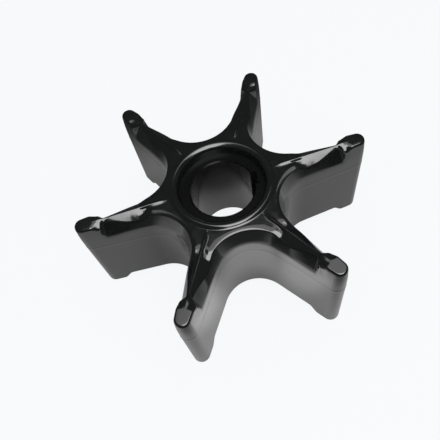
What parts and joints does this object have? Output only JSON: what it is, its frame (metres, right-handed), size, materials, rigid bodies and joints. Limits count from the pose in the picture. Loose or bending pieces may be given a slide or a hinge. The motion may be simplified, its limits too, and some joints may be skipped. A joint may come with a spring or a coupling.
{
  "type": "rubber pump impeller",
  "caption": "Moulded rubber impeller with straight flexible vanes, raised sealing pads at the vane ends and a keyed bush in the hub, for a small marine water pump.",
  "frame": {"origin": "centre of the lower end plane, where the collar and the lower pads rest, on the bore axis", "axes": "+Z along the bore axis towards the end with the scooped vane shoulders, +X along one vane"},
  "size_m": [0.065, 0.0568, 0.025],
  "materials": {
    "rubber": "gloss",
    "bush": "satin"
  },
  "bodies": {
    "root": {"vane_body": "rubber", "hub_bush": "bush"}
  },
  "joints": []
}
